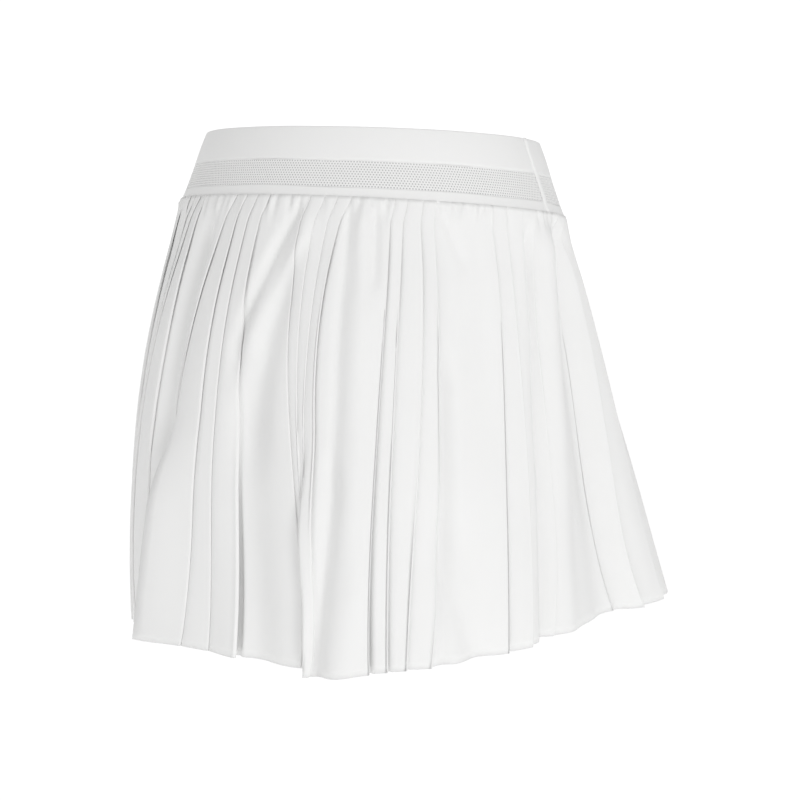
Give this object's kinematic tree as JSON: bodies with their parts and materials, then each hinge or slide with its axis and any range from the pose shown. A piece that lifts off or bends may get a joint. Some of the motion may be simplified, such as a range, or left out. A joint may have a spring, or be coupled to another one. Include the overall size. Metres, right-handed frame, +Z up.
{
  "type": "tennis skirt",
  "caption": "Short white tennis skirt in groups of knife pleats, with a smooth band over a perforated mesh insert, standing open in its worn form.",
  "frame": {"origin": "centre of the waist opening, in the plane of the waistband's top edge", "axes": "+Z up towards the wearer's head, -Y to the front, +Y to the back, -X to the wearer's right"},
  "size_m": [0.3908, 0.4156, 0.3415],
  "materials": {
    "band_knit": "smooth matt doubled knit",
    "band_mesh": "matt perforated knit",
    "pleated_cloth": "matt woven polyester, pressed pleats"
  },
  "bodies": {
    "root": {"waistband_back": "band_knit", "waistband_front": "band_knit", "mesh_insert_back": "band_mesh", "mesh_insert_front": "band_mesh", "waist_strip_back": "band_knit", "waist_strip_front": "band_knit", "skirt_back": "pleated_cloth", "skirt_front": "pleated_cloth", "seam_ridge_left": "band_knit", "seam_ridge_right": "band_knit"}
  },
  "joints": []
}
